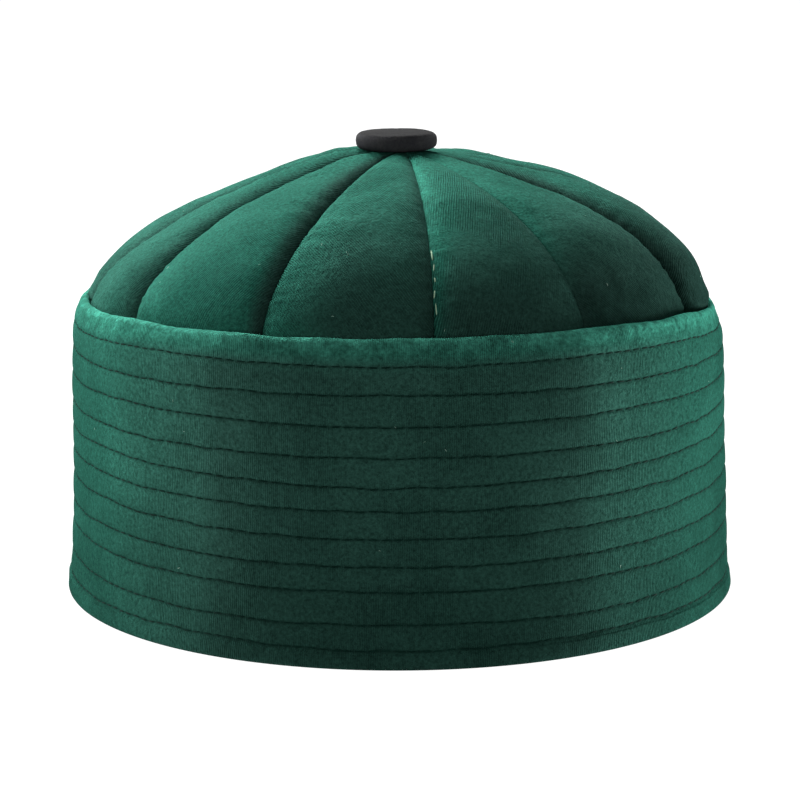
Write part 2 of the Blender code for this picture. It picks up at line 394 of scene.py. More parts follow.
@dataclass(frozen=True)
class Velvet:
    """Short-pile velvet: dark where one looks into the pile, pale along its turned edges.

    Attributes:
        name: name of the material.
        pile: colour of the pile.
        painted_shade: greyer colour of the pile, a painted shade for the grey look of its shaded parts.
        cloud_size: distance across the largest patches of lighter and darker pile, in metres.
        patch_size: the same for the smaller patches.
        tuft_size: the same for the crumpled tufts.
        grain_size: the same for the pile's grain.
        cloud_share: how far the largest patches lighten or darken the pile.
        grain_share: the same for the pile's grain.
        rib_share: the same for the ribs of the woven ground.
        rib_pitch: distance between two ribs, in metres.
        sheen: strength of the pale edges.
        sheen_spread: roughness of those edges.
        sheen_tint: their colour.
    """

    name: str
    pile: Colour = (0.0130, 0.0800, 0.0570)
    painted_shade: Colour = (0.0310, 0.0760, 0.0615)
    cloud_size: float = 0.026
    patch_size: float = 0.009
    tuft_size: float = 0.0034
    grain_size: float = 0.0010
    cloud_share: float = 0.08
    grain_share: float = 0.50
    rib_share: float = 0.17
    rib_pitch: float = 0.00058
    sheen: float = 0.035
    sheen_spread: float = 0.80
    sheen_tint: Colour = (0.20, 1.00, 0.75)

    def make(self) -> bpy.types.Material:
        """Build the material."""
        bench = NodeBench(self.name, self.pile)
        place = bench.place()
        clouds = bench.noise(place, self.cloud_size, 3.0, 0.55)
        patches = bench.noise(place, self.patch_size, 2.0, 0.6)
        grain = bench.noise(place, self.grain_size, 3.0, 0.78)
        tufts = bench.noise(place, self.tuft_size, 2.0, 0.55)
        ribs = self._ribs(bench, place)
        factor = bench.span(clouds, 0.25, 0.75, 1.0 - self.cloud_share, 1.0 + self.cloud_share)
        patch_share = self.cloud_share / 2
        light_patch = bench.span(patches, 0.3, 0.7, 1.0 - patch_share, 1.0 + patch_share)
        light_grain = bench.span(grain, 0.3, 0.7, 1.0 - self.grain_share, 1.0 + self.grain_share)
        light_rib = bench.math("MULTIPLY_ADD", ribs, self.rib_share, 1.0)
        # Painted light and shade from the attribute's Z, with a mottle that grows where the painted light
        # is strong.
        shading_value = self._cloth_part(bench, "Z")
        unrest = bench.span(shading_value, 0.0, 0.30, 0.09, 0.56)
        mottle = bench.math("MULTIPLY_ADD", bench.span(tufts, 0.34, 0.66, -1.0, 1.0), unrest, 1.0)
        painted_shading = bench.math("MULTIPLY_ADD", shading_value, mottle, 1.0)
        for share in (light_patch, light_grain, light_rib, bench.math("MAXIMUM", painted_shading, 0.08)):
            factor = bench.math("MULTIPLY", factor, share)
        # Painted shade: the pile turns towards its greyer shaded colour where the attribute's Y is high.
        shade_greyed = bench.blend(self._cloth_part(bench, "Y"), self.pile, self.painted_shade)
        colour = bench.scaled(shade_greyed, factor)
        bench.wire(colour, bench.shader.inputs["Base Color"])
        relief = bench.math("MULTIPLY_ADD", ribs, 0.22, grain)
        bench.raise_surface(bench.math("MULTIPLY_ADD", tufts, 0.9, relief), 0.0008, 0.9)
        bench.wire(bench.span(grain, 0.2, 0.8, 0.88, 1.0), bench.shader.inputs["Roughness"])
        bench.set_shader({
            "Specular IOR Level": 0.008,
            "Sheen Weight": self.sheen,
            "Sheen Roughness": self.sheen_spread,
            "Sheen Tint": (*self.sheen_tint, 1.0),
        })
        return bench.material

    def _cloth_part(self, bench: NodeBench, part: str):
        """One part of the mesh's attribute: X across the cloth, Y the share of painted grey shade, Z
        painted light and shade.
        """
        attribute = bench.add("ShaderNodeAttribute", attribute_name=CLOTH_PLACE)
        split = bench.add("ShaderNodeSeparateXYZ")
        bench.wire(attribute.outputs["Vector"], split.inputs[0])
        return split.outputs[part]

    def _ribs(self, bench: NodeBench, place):
        """Fine ribs that show in patches, from -1 to 1."""
        sway = bench.noise(place, 0.004, 1.0)
        across = bench.math("MULTIPLY_ADD", sway, 0.0006, self._cloth_part(bench, "X"))
        wave = bench.math("SINE", bench.math("MULTIPLY", across, tau / self.rib_pitch))
        shown = bench.span(bench.noise(place, 0.020, 2.0), 0.40, 0.58)
        return bench.math("MULTIPLY", wave, shown)


@dataclass(frozen=True)
class Felt:
    """Close woollen cloth, matt and nearly black."""

    name: str
    colour: Colour = (0.0230, 0.0230, 0.0265)
    faded: Colour = (0.0365, 0.0365, 0.0375)
    top_shade: float = 0.19         # painted shade: how much of that colour is left on the flat top, which the lights would show lighter

    def make(self, top: float) -> bpy.types.Material:
        """Build the material.

        Args:
            top: height at which the flat top begins, in metres.
        """
        bench = NodeBench(self.name, self.colour)
        place = bench.place()
        wool = bench.noise(place, 0.0007, 3.0, 0.7)
        patches = bench.noise(place, 0.004, 2.0)
        share = bench.span(bench.math("MULTIPLY", wool, patches), 0.16, 0.36)
        split = bench.add("ShaderNodeSeparateXYZ")
        bench.wire(place, split.inputs[0])
        # Painted shade: the flat top darkened against the light that falls on it.
        shade = bench.span(split.outputs["Z"], top - 0.0011, top - 0.0002, 1.0, self.top_shade)
        colour = bench.scaled(bench.blend(share, self.colour, self.faded), shade)
        bench.wire(colour, bench.shader.inputs["Base Color"])
        bench.raise_surface(wool, 0.0003, 0.6)
        bench.wire(bench.span(wool, 0.2, 0.8, 0.82, 0.98), bench.shader.inputs["Roughness"])
        bench.set_shader({"Specular IOR Level": 0.02})
        return bench.material


@dataclass(frozen=True)
class Yarn:
    """Spun thread with a fine twist."""

    name: str
    colour: Colour
    faded: Colour
    roughness: float = 0.75

    def make(self) -> bpy.types.Material:
        """Build the material."""
        bench = NodeBench(self.name, self.colour)
        place = bench.place()
        fibre = bench.noise(place, 0.0004, 2.0, 0.6)
        stretch = bench.noise(place, 0.007, 1.0)
        share = bench.span(bench.math("MULTIPLY", fibre, stretch), 0.14, 0.40)
        bench.wire(bench.blend(share, self.colour, self.faded), bench.shader.inputs["Base Color"])
        bench.raise_surface(fibre, 0.0001, 0.5)
        bench.wire(bench.span(fibre, 0.2, 0.8, self.roughness - 0.1, self.roughness + 0.1),
                   bench.shader.inputs["Roughness"])
        bench.set_shader({"Specular IOR Level": 0.04})
        return bench.material


BAND_VELVET = Velvet("band_velvet")
CROWN_VELVET = Velvet("crown_velvet", rib_share=0.24, rib_pitch=0.00066)
BUTTON_FELT = Felt("button_felt")
DARK_YARN = Yarn("dark_green_yarn", (0.0024, 0.0160, 0.0115), (0.0052, 0.0300, 0.0215))
PALE_YARN = Yarn("pale_green_yarn", (0.3400, 0.5200, 0.3500), (0.5400, 0.7000, 0.5400))
LINT_FIBRE = Yarn("lint_fibre", (0.1600, 0.3000, 0.2300), (0.3200, 0.4500, 0.3800))


# The band

class SewnRow(NamedTuple):
    """One sewn row around the band."""

    height: float                   # share of the band's height
    wander: tuple[float, ...]       # millimetres above that height at the bearings of WANDER_AT


WANDER_AT = (0.0, 40.0, 50.0, 58.0, 66.0, 75.0)

SEWN_ROWS = (
    SewnRow(0.059, (-0.22, 0.88, 0.53, 0.71, 0.76, 0.76)),
    SewnRow(0.135, (0.20, -0.33, -0.01, 0.22, 0.65, 0.65)),
    SewnRow(0.235, (-0.01, 0.11, 0.11, 0.44, 0.38, 0.38)),
    SewnRow(0.313, (0.02, -0.04, 0.07, 0.37, -0.01, -0.01)),
    SewnRow(0.397, (-0.01, 0.28, 0.51, 0.95, 0.69, 0.69)),
    SewnRow(0.482, (-0.09, 0.21, 0.14, 0.38, 0.15, 0.15)),
    SewnRow(0.556, (-0.26, 0.62, 0.91, 0.97, 0.75, 0.75)),
    SewnRow(0.644, (0.19, -0.07, -0.17, -0.08, -0.10, -0.10)),
    SewnRow(0.739, (-0.15, 0.29, 0.33, -0.10, -0.45, -0.45)),
    SewnRow(0.832, (0.18, -0.29, -0.61, -0.61, -0.67, -0.67)),
    SewnRow(0.918, (-0.01, 0.43, 0.36, 0.00, -0.33, -0.73)),
)


class BandLine(NamedTuple):
    """One height of the band's outer line."""

    height: float       # share of the band's height
    flare: float        # share of the rim's flare
    lean: float         # share of the lip's lean


BAND_LINE = (
    BandLine(0.000, 1.00, 0.00),
    BandLine(0.020, 1.00, 0.00),
    BandLine(0.053, 0.68, 0.00),
    BandLine(0.090, 0.47, 0.00),
    BandLine(0.170, 0.38, 0.00),
    BandLine(0.260, 0.20, 0.00),
    BandLine(0.430, 0.05, 0.00),
    BandLine(0.500, 0.00, 0.00),
    BandLine(0.690, 0.00, 0.09),
    BandLine(0.780, 0.00, 0.20),
    BandLine(0.865, 0.00, 0.30),
    BandLine(0.930, 0.00, 0.56),
    BandLine(0.955, 0.00, 0.85),
    BandLine(1.000, 0.00, 1.20),
)


class BearingShading(NamedTuple):
    """Painted light and shade of the band at one bearing."""

    bearing: float      # degrees from the front, either way
    shade: float        # how much lighter (above 0) or darker the painted light or shade makes the pile
    painted_shade: float      # share of the greyer painted-shade colour, from 0 to 1


# Painted light and shade by bearing: darker at the front, lighter from 35 to 58 degrees, darkest at the
# back, greyer at the front and back.
BEARING_SHADING = (
    BearingShading(0.0, -0.12, 0.66),
    BearingShading(29.5, -0.10, 0.68),
    BearingShading(34.5, 0.20, 0.55),
    BearingShading(58.0, 0.16, 0.10),
    BearingShading(74.0, -0.07, 0.00),
    BearingShading(90.0, -0.09, 0.00),
    BearingShading(120.0, -0.16, 0.00),
    BearingShading(145.0, -0.32, 0.15),
    BearingShading(180.0, -0.40, 0.30),
)


class Slump(NamedTuple):
    """One height of the slumped shoulders below the lip."""

    height: float       # share of the band's height
    right: float        # share of the shoulder's slack at +X
    left: float         # share of it at -X


SHOULDERS = (
    Slump(0.70, 0.00, 0.00),
    Slump(0.80, 0.14, 0.00),
    Slump(0.88, 0.32, 0.00),
    Slump(0.93, 0.58, 0.05),
    Slump(0.98, 0.78, 0.40),
    Slump(1.00, 0.70, 0.60),
)


SOFT_FACES = (Relief(3, 0.045, 0.16 * MM), Relief(4, 0.011, 0.045 * MM))
SOFT_LIP = (Relief(5, 0.020, 0.16 * MM), Relief(6, 0.004, 0.04 * MM))
NEAR_A_ROW = (-1.7, -1.0, -0.6, -0.35, -0.15, 0.0, 0.15, 0.35, 0.6, 1.0, 1.7)   # points, in mm from it
BETWEEN_ROWS = (0.36, 0.5, 0.64)    # more points, as shares of the way to the next row
INNER_FACE = (0.955, 0.03, 30)      # inner face: its first and last height as shares, and its points


@dataclass
class Band:
    """The upright quilted band, its folded lip and rim, and the rows sewn through it."""

    head_radius: float = 0.0922
    wall: float = 0.0039
    height: float = 0.0892
    rim_flare: float = 0.0027
    lip_lean: float = 0.0016
    lip_drop: float = 0.0026
    lip_drop_start: float = 0.68
    right_drop: float = 0.0028      # how much further the lip drops at +X
    shoulder_slack: float = 0.0026
    rim_round: float = 0.0010
    rim_round_in: float = 0.0008
    swell: float = 0.0002           # rise of the filling between two rows
    pull: float = 0.0003            # depth of the narrow groove that a row pulls in
    pull_width: float = 0.0006      # half width of that groove
    columns: int = 500
    lip_steps: int = 16
    rim_steps: int = 4
    row_shade: float = 0.50         # how much darker the painted shade makes the pile along each row's groove
    row_shade_width: float = 0.00038
    lip_light: float = 1.60         # how much lighter the painted highlight makes the pile over the folded lip
    lip_spread: float = 0.0028      # how far below the top row that light reaches
    lip_shade: float = 0.50         # how much of it is missing at -X
    rim_shade: float = 0.38         # how much darker the painted shade makes the pile towards the rim
    rim_shade_top: float = 0.62     # share of the height at which that shade ends
    stitch_pitch: float = 0.0034
    stitch_gap: float = 0.0004
    stitch_give: float = 0.04       # share by which the rows take more stitches than the head's round
    stitch_width: float = 0.00043
    stitch_rise: float = 0.00016
    stitch_out: float = 0.00007     # how far its middle stands out of the bottom of the groove
    stitch_dip: float = 0.00010     # how much deeper its ends lie
    stitch_slant: float = 0.055
    stitch_tumble: float = 0.045    # how much one stitch's slant differs from the next one's
    stitch_stray: float = 0.00006   # how far one stitch lies above or below its row

    def build(self, velvet: bpy.types.Material, yarn: bpy.types.Material) -> list[bpy.types.Object]:
        """Build and dress the band and its rows.

        Args:
            velvet: finish of the band.
            yarn: finish of the sewn rows.

        Returns:
            The band and the rows on its two faces.
        """
        band = self._skin(velvet)
        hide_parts("band")
        pieces = [band, self._rows("sewn_rows", False, yarn), self._rows("sewn_rows_inside", True, yarn)]
        for piece in pieces:
            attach(piece, BODY)
        return pieces

    def outer_radius(self, height: np.ndarray) -> np.ndarray:
        """Radius of the outer line at some heights, without swell or grooves."""
        flare, lean = (read_table(BAND_LINE, height / self.height, column) for column in ("flare", "lean"))
        return self.head_radius + self.wall + self.rim_flare * flare - self.lip_lean * lean

    def lip_fold(self) -> tuple[float, float, float]:
        """Centre radius, centre height and radius of the fold at the lip."""
        fold = self.wall / 2
        return self.head_radius + self.wall - self.lip_lean - fold, self.height - fold, fold

    def place(self, bearing: np.ndarray, radius: np.ndarray, height: np.ndarray) -> np.ndarray:
        """Put points of the even band where the worn one has them.

        Args:
            bearing: bearings of the points.
            radius: their distances from the axis on the even band.
            height: their heights on it.

        Returns:
            Array of points, after the slump of the shoulders and the drop of the lip.
        """
        share = height / self.height
        right, left = (read_table(SHOULDERS, share, column) for column in ("right", "left"))
        side = np.where(np.sin(bearing) > 0, right, left)
        outer = np.clip((radius - self.outer_radius(height)) / self.wall + 1, 0.0, 1.0)
        radius = radius - self.shoulder_slack * side * outer * np.sin(bearing) ** 6
        above = np.clip((share - self.lip_drop_start) / (1 - self.lip_drop_start), 0.0, None)
        drop = self.lip_drop * np.sin(bearing) ** 4
        drop = drop + self.right_drop * np.clip(np.sin(bearing), 0.0, None) ** 14
        return around_axis(radius, bearing, height - drop * above ** 2)

    @staticmethod
    def wander(row: int, bearing: np.ndarray) -> np.ndarray:
        """How far a row runs above its even height, in metres.

        Args:
            row: number of the row, from the rim.
            bearing: bearings to ask for.

        Returns:
            Array of heights.
        """
        around = np.abs((np.asarray(bearing) + pi) % tau - pi)
        front = np.interp(np.degrees(around), WANDER_AT, SEWN_ROWS[row].wander) * MM
        ring = np.stack([np.sin(bearing), np.cos(bearing), np.full_like(around, 3.0 * row)], axis=-1)
        own = Relief(40 + row, 1.3, 0.35 * MM, 10).at(ring)
        turn = np.clip((np.degrees(around) - 80.0) / 40.0, 0.0, 1.0)
        close = Relief(60 + row, 0.11, 0.11 * MM, 14).at(ring)
        return front * (1 - turn) + own * turn + close

    def _levels(self) -> tuple[np.ndarray, np.ndarray, np.ndarray]:
        """Section of the even band: radius, height and share of the outer face at each point."""
        rows = self.row_heights()
        lip_radius, lip_height, fold = self.lip_fold()
        face = [row + step * MM for row in rows for step in NEAR_A_ROW]
        edges = [rows[0] - 2 * MM, *rows, lip_height]
        for low, high in zip(edges, edges[1:]):
            face += [low + (high - low) * share for share in BETWEEN_ROWS]
        face = np.array(sorted(height for height in face if self.rim_round < height < lip_height))
        rim = float(self.outer_radius(np.array(0.0)))
        down = np.linspace(*INNER_FACE) * self.height
        inner = rim - self.wall + self.rim_round_in
        outline = [
            arc((rim - self.rim_round, self.rim_round), self.rim_round, -90, 0, self.rim_steps),
            np.stack([self.outer_radius(face), face], axis=1),
            arc((lip_radius, lip_height), fold, 0, 180, self.lip_steps),
            np.stack([self.outer_radius(down) - self.wall, down], axis=1),
            arc((inner, self.rim_round_in), self.rim_round_in, 180, 270, self.rim_steps),
        ]
        points = np.concatenate(outline)
        outer = np.concatenate([np.full(len(part), share) for part, share in
                                zip(outline, (0.0, 1.0, 0.5, -1.0, 0.0))])
        return points[:, 0], points[:, 1], outer

    def row_heights(self) -> np.ndarray:
        """Heights of the rows on the even band."""
        return np.array([row.height for row in SEWN_ROWS]) * self.height

    def _to_a_row(self, height: np.ndarray) -> np.ndarray:
        """Distance from some heights to the nearest row."""
        return np.abs(height[:, None] - self.row_heights()[None, :]).min(axis=1)

    def _quilting(self, height: np.ndarray) -> np.ndarray:
        """How far the even face stands out at a height: swells between rows, grooves at them."""
        rows = self.row_heights()
        edges = np.array([rows[0] - 6 * MM, *rows, self.height])
        gap = np.clip(np.searchsorted(edges, height, side="right") - 1, 0, len(edges) - 2)
        share = np.clip((height - edges[gap]) / (edges[gap + 1] - edges[gap]), 0.0, 1.0)
        swell = self.swell * (1 - np.abs(1 - 2 * share) ** 2.6)
        return swell - self.pull * np.exp(-(self._to_a_row(height) / self.pull_width) ** 2)

    def _painted_shading(self, height: np.ndarray, outer: np.ndarray) -> np.ndarray:
        """Painted light and shade of the pile: a painted highlight over the folded lip, painted shade in
        the rows and towards the rim.
        """
        start = self.row_heights()[-1] - self.lip_spread
        share = np.clip((height - start) / (self.height - start) * 1.1, 0.0, 1.0)
        light = self.lip_light * share ** 1.6 * (outer > -0.9)
        painted_shade = self.row_shade * np.exp(-(self._to_a_row(height) / self.row_shade_width) ** 2)
        low = np.clip(1 - height / (self.rim_shade_top * self.height), 0.0, 1.0)
        return light + (1 - painted_shade) * (1 - self.rim_shade * ease(low)) - 1

    def _skin(self, velvet: bpy.types.Material) -> bpy.types.Object:
        """The velvet from the rim over the outer face and the lip and down the inner wall."""
        radius, height, outer = self._levels()
        bearing = np.arange(self.columns) * tau / self.columns
        wander = np.stack([self.wander(row, bearing) for row in range(len(SEWN_ROWS))])
        stops = np.array([0.0, *self.row_heights(), self.height])
        lift = np.stack([np.interp(height, stops, [0.0, *shifts, 0.0]) for shifts in wander.T], axis=1)
        out = np.where(outer > 0.9, self._quilting(height), 0.0)
        out = np.where(outer < -0.9, -0.5 * self._quilting(height), out)
        base = self.place(bearing[None, :], radius[:, None] + 0 * lift, height[:, None] + 0 * lift)
        soft = uneven(SOFT_FACES, base)
        face = np.abs(outer)[:, None]
        edge = uneven(SOFT_LIP, base)
        lip = (np.abs(outer - 0.5) < 0.1)[:, None]
        spread = radius[:, None] + out[:, None] + np.where(lip, edge * 0.7, soft * face)
        raised = height[:, None] + lift * face + np.where(lip, edge, 0.0)
        points = self.place(bearing[None, :], spread, raised)
        cells = ring_faces(len(height), self.columns, True)
        faces = (cells[..., 0] % len(height)) * self.columns + cells[..., 1] % self.columns
        # Painted light and shade of the pile, by height here and by bearing in _cloth.
        painted_shading = self._painted_shading(height, outer)
        places = self._cloth(cells, bearing, np.append(painted_shading, painted_shading[0])[cells[..., 0]])
        return make_piece("quilted_band", points, faces.tolist(), velvet, places)

    def _cloth(self, cells: np.ndarray, bearing: np.ndarray, painted_shading: np.ndarray) -> np.ndarray:
        """Place on the cloth of each corner of the band's faces.

        Args:
            cells: row and column of each corner.
            bearing: bearing of each column.
            painted_shading: painted light and shade at each corner, by its height alone.

        Returns:
            Array for make_piece, with painted light and shade by bearing as well.
        """
        around = np.arange(self.columns + 1) * tau / self.columns * self.head_radius
        corner_bearing = bearing[cells[..., 1] % self.columns]
        turned = np.abs((np.degrees(corner_bearing) + 180.0) % 360.0 - 180.0)
        bearing_shading = read_table(BEARING_SHADING, turned, "shade")
        painted_shade = read_table(BEARING_SHADING, turned, "painted_shade") * (1 - np.clip(painted_shading, 0.0, 0.8))
        # Painted highlight over the lip: less of it where the bearing already paints light, and less at -X.
        left = np.clip(-np.sin(corner_bearing), 0.0, None) ** 3
        lit = (1 - 1.2 * np.clip(bearing_shading, 0.0, 0.2)) * (1 - self.lip_shade * left)
        painted_shading = (1 + np.where(painted_shading > 0, painted_shading * lit, painted_shading)) * (1 + bearing_shading) - 1
        return np.stack([around[cells[..., 1]], painted_shade, painted_shading], axis=-1).reshape(-1, 3)

    def _rows(self, name: str, inside: bool, yarn: bpy.types.Material) -> bpy.types.Object:
        """Lockstitches of all the rows on one face of the band, sunk in their grooves.

        Args:
            name: name of the piece.
            inside: whether they lie on the inner wall.
            yarn: their finish.

        Returns:
            The stitches as one object.
        """
        draw = np.random.default_rng(17 + inside)
        along = np.linspace(-0.5, 0.5, 5)[None, :]
        count = round(tau * self.head_radius * (1 + self.stitch_give) / self.stitch_pitch)
        paths = []
        for number, row in enumerate(SEWN_ROWS):
            centres = (np.arange(count) + draw.uniform(-0.07, 0.07, count)) * tau / count
            lengths = (self.stitch_pitch - self.stitch_gap) * draw.uniform(0.92, 1.04, count)
            even = row.height * self.height
            radius = float(self.outer_radius(np.array(even)))
            run = along * lengths[:, None]
            bearing = centres[:, None] + run / radius
            tilt = draw.normal(self.stitch_slant, self.stitch_tumble, count)[:, None]
            stray = draw.normal(0.0, self.stitch_stray, count)[:, None]
            height = even + self.wander(number, bearing) + run * tilt + stray
            side = -1.0 if inside else 1.0
            wall = radius - self.wall if inside else radius
            soft = uneven(SOFT_FACES, self.place(bearing, wall + 0 * bearing, even + 0 * bearing))
            pull = self.pull / 2 if inside else self.pull
            out = self.stitch_out - pull - self.stitch_dip * (2 * along) ** 2
            paths.append(self.place(bearing, wall + soft + side * out, height))
        paths = np.concatenate(paths)
        outward = paths * (1.0, 1.0, 0.0) * (-1.0 if inside else 1.0)
        widths = self.stitch_width * draw.uniform(0.85, 1.15, len(paths))
        return lay_threads(name, paths, outward, widths, self.stitch_rise, yarn)


# The crown

class Seam(NamedTuple):
    """One seam of the crown, with the gore that follows it towards +X."""

    bearing: float      # degrees, at the spring line
    turn: float         # degrees that the seam turns on its way up to the apex
    depth: float        # share of the seams' depth
    puff: float         # how far the gore's crest swells past the others, as a share of that depth
    ribs: float         # slant of the gore's ribs, in degrees
    shade: float        # how much darker the painted shade makes the pile near the lip, on its +X half
    turned: float       # share of the gore's width at which that half begins
    before: float       # how much darker the painted shade makes the pile in the valley on the seam's -X side
    after: float        # the same on its +X side; below 0 it paints a highlight instead


# The last four columns paint shade, and some highlights, into the gores' pile.
SEAMS = (
    Seam(6.1, 0.5, 0.80, 0.00, 20.0, 0.51, -0.36, 0.30, -0.80),
    Seam(34.8, -5.6, 0.42, 0.05, -40.0, 0.72, -0.50, 0.15, -0.25),
    Seam(67.4, -4.2, 1.00, 0.10, 50.0, 0.76, -0.50, 0.05, 0.70),
    Seam(97.0, 0.0, 0.90, 0.00, 15.0, 0.30, 0.20, 0.20, 0.40),
    Seam(127.0, 0.0, 0.90, 0.10, -30.0, 0.40, -0.20, 0.25, 0.35),
    Seam(157.0, 0.0, 0.80, 0.00, 25.0, 0.55, -0.10, 0.30, 0.35),
    Seam(187.0, 0.0, 0.90, 0.10, -15.0, 0.45, -0.40, 0.35, 0.30),
    Seam(217.0, 0.0, 0.80, 0.00, 35.0, 0.50, 0.10, 0.35, 0.25),
    Seam(247.0, 0.0, 0.90, 0.10, -25.0, 0.20, 0.00, 0.30, 0.10),
    Seam(277.5, -9.0, 0.75, 0.10, 10.0, 0.14, -0.60, 0.35, 0.00),
    Seam(303.5, -7.2, 0.85, 0.10, 20.0, -0.20, -0.60, 0.36, 0.00),
    Seam(334.6, 0.4, 1.00, 0.00, -40.0, 0.44, 0.06, 0.78, -0.15),
)


class Slack(NamedTuple):
    """One level of the crown's slack sides: share of its slack, negative for a dent."""

    lift: float         # degrees up the crown, 0 at the spring line and 90 at the apex
    left: float         # at -X
    right: float        # at +X


CROWN_LINE = (
    Slack(0.0, 0.00, 0.00),
    Slack(12.0, 0.80, 0.00),
    Slack(24.0, 0.60, 0.00),
    Slack(38.0, 0.05, 0.10),
    Slack(52.0, -0.20, -0.25),
    Slack(64.0, 0.45, -0.75),
    Slack(74.0, 1.35, -0.95),
    Slack(83.0, 0.55, -0.45),
    Slack(90.0, 0.00, 0.00),
)


# Lifts of the pale hand stitches in the front seam, in degrees
HAND_STITCHES = (15.2, 21.0, 26.3, 31.0, 35.5)
SOFT_GORES = (Relief(7, 0.030, 0.28 * MM), Relief(8, 0.010, 0.06 * MM))
CREST_PER_LIFT = 0.055          # length of the crest for each radian of lift there, in metres


